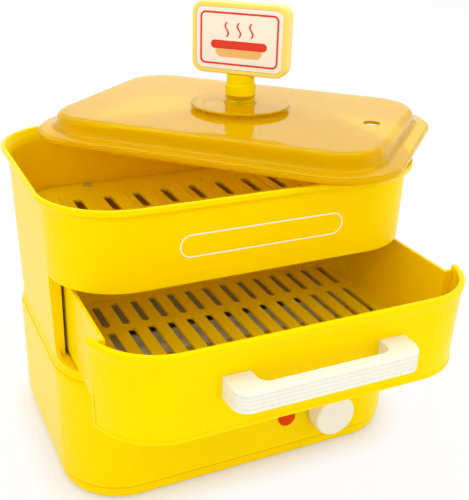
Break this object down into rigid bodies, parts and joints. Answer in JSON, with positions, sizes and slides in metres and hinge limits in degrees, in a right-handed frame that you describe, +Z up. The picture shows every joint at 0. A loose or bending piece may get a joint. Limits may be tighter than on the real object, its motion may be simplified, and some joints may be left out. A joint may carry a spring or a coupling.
{
  "type": "hot dog steamer",
  "caption": "Countertop hot dog steamer with a pull-out sausage drawer, a bun well under a lift-off lid, a heated water tank in the base, a timer knob and a lamp.",
  "frame": {"origin": "on the table, under the middle of the base", "axes": "+Z up, -Y the front where the drawer pulls out, +X to the right seen from the front"},
  "size_m": [0.3382, 0.3836, 0.3313],
  "materials": {
    "yellow_plastic": "glossy moulded yellow",
    "cream_plastic": "glossy moulded cream",
    "clear_amber": "clear amber, polished",
    "sign_yellow": "satin pale yellow",
    "sign_print": "printed plate",
    "white_plastic": "moulded off-white",
    "lamp_red": "clear red",
    "lamp_glass": "small neon bulb",
    "black_plastic": "moulded black",
    "steel": "plated",
    "brass": "turned",
    "aluminium": "cast",
    "tank_steel": "drawn, satin",
    "seal_rubber": "silicone",
    "foot_rubber": "soft black",
    "wire_cover": "heat-proof sleeve"
  },
  "bodies": {
    "base": {"base_shell": "yellow_plastic", "base_plate": "yellow_plastic", "rubber_feet": "foot_rubber", "base_screws": "steel", "steam_housing": "yellow_plastic", "bun_rack": "yellow_plastic", "rack_screws": "steel", "drip_tray": "cream_plastic", "water_tank": "tank_steel", "heating_plate": "aluminium", "heating_element": "steel", "plate_seal": "seal_rubber", "heater_clamp": "steel", "clamp_screws": "steel", "thermostat": "black_plastic", "thermal_fuse": "white_plastic", "timer_switch": "black_plastic", "switch_nut": "steel", "indicator_lens": "lamp_red", "lamp_holder": "black_plastic", "lamp_bulb": "lamp_glass", "terminal_block": "white_plastic", "cord_inlet": "black_plastic", "hookup_wires": "wire_cover"},
    "drawer": {"drawer_tray": "yellow_plastic", "drawer_handle": "cream_plastic", "handle_screws": "steel"},
    "lid": {"lid_shell": "clear_amber", "sign_post": "yellow_plastic", "sign_board": "sign_yellow", "sign_face": "sign_print", "post_washer": "steel", "post_screw": "steel"},
    "knob": {"control_knob": "cream_plastic", "knob_shaft": "brass"}
  },
  "joints": [
    {"name": "drawer_slide", "type": "slide", "parent": "base", "child": "drawer", "axis": [0, -1, 0], "range_m": [-0.0814, 0.03]},
    {"name": "lid_lift", "type": "slide", "parent": "base", "child": "lid", "axis": [0, 0, 1], "range_m": [0, 0.12]},
    {"name": "knob_turn", "type": "hinge", "parent": "base", "child": "knob", "pos_m": [0.063, -0.11, 0.038], "axis": [0, 1, 0], "range_deg": [0, 270]}
  ]
}
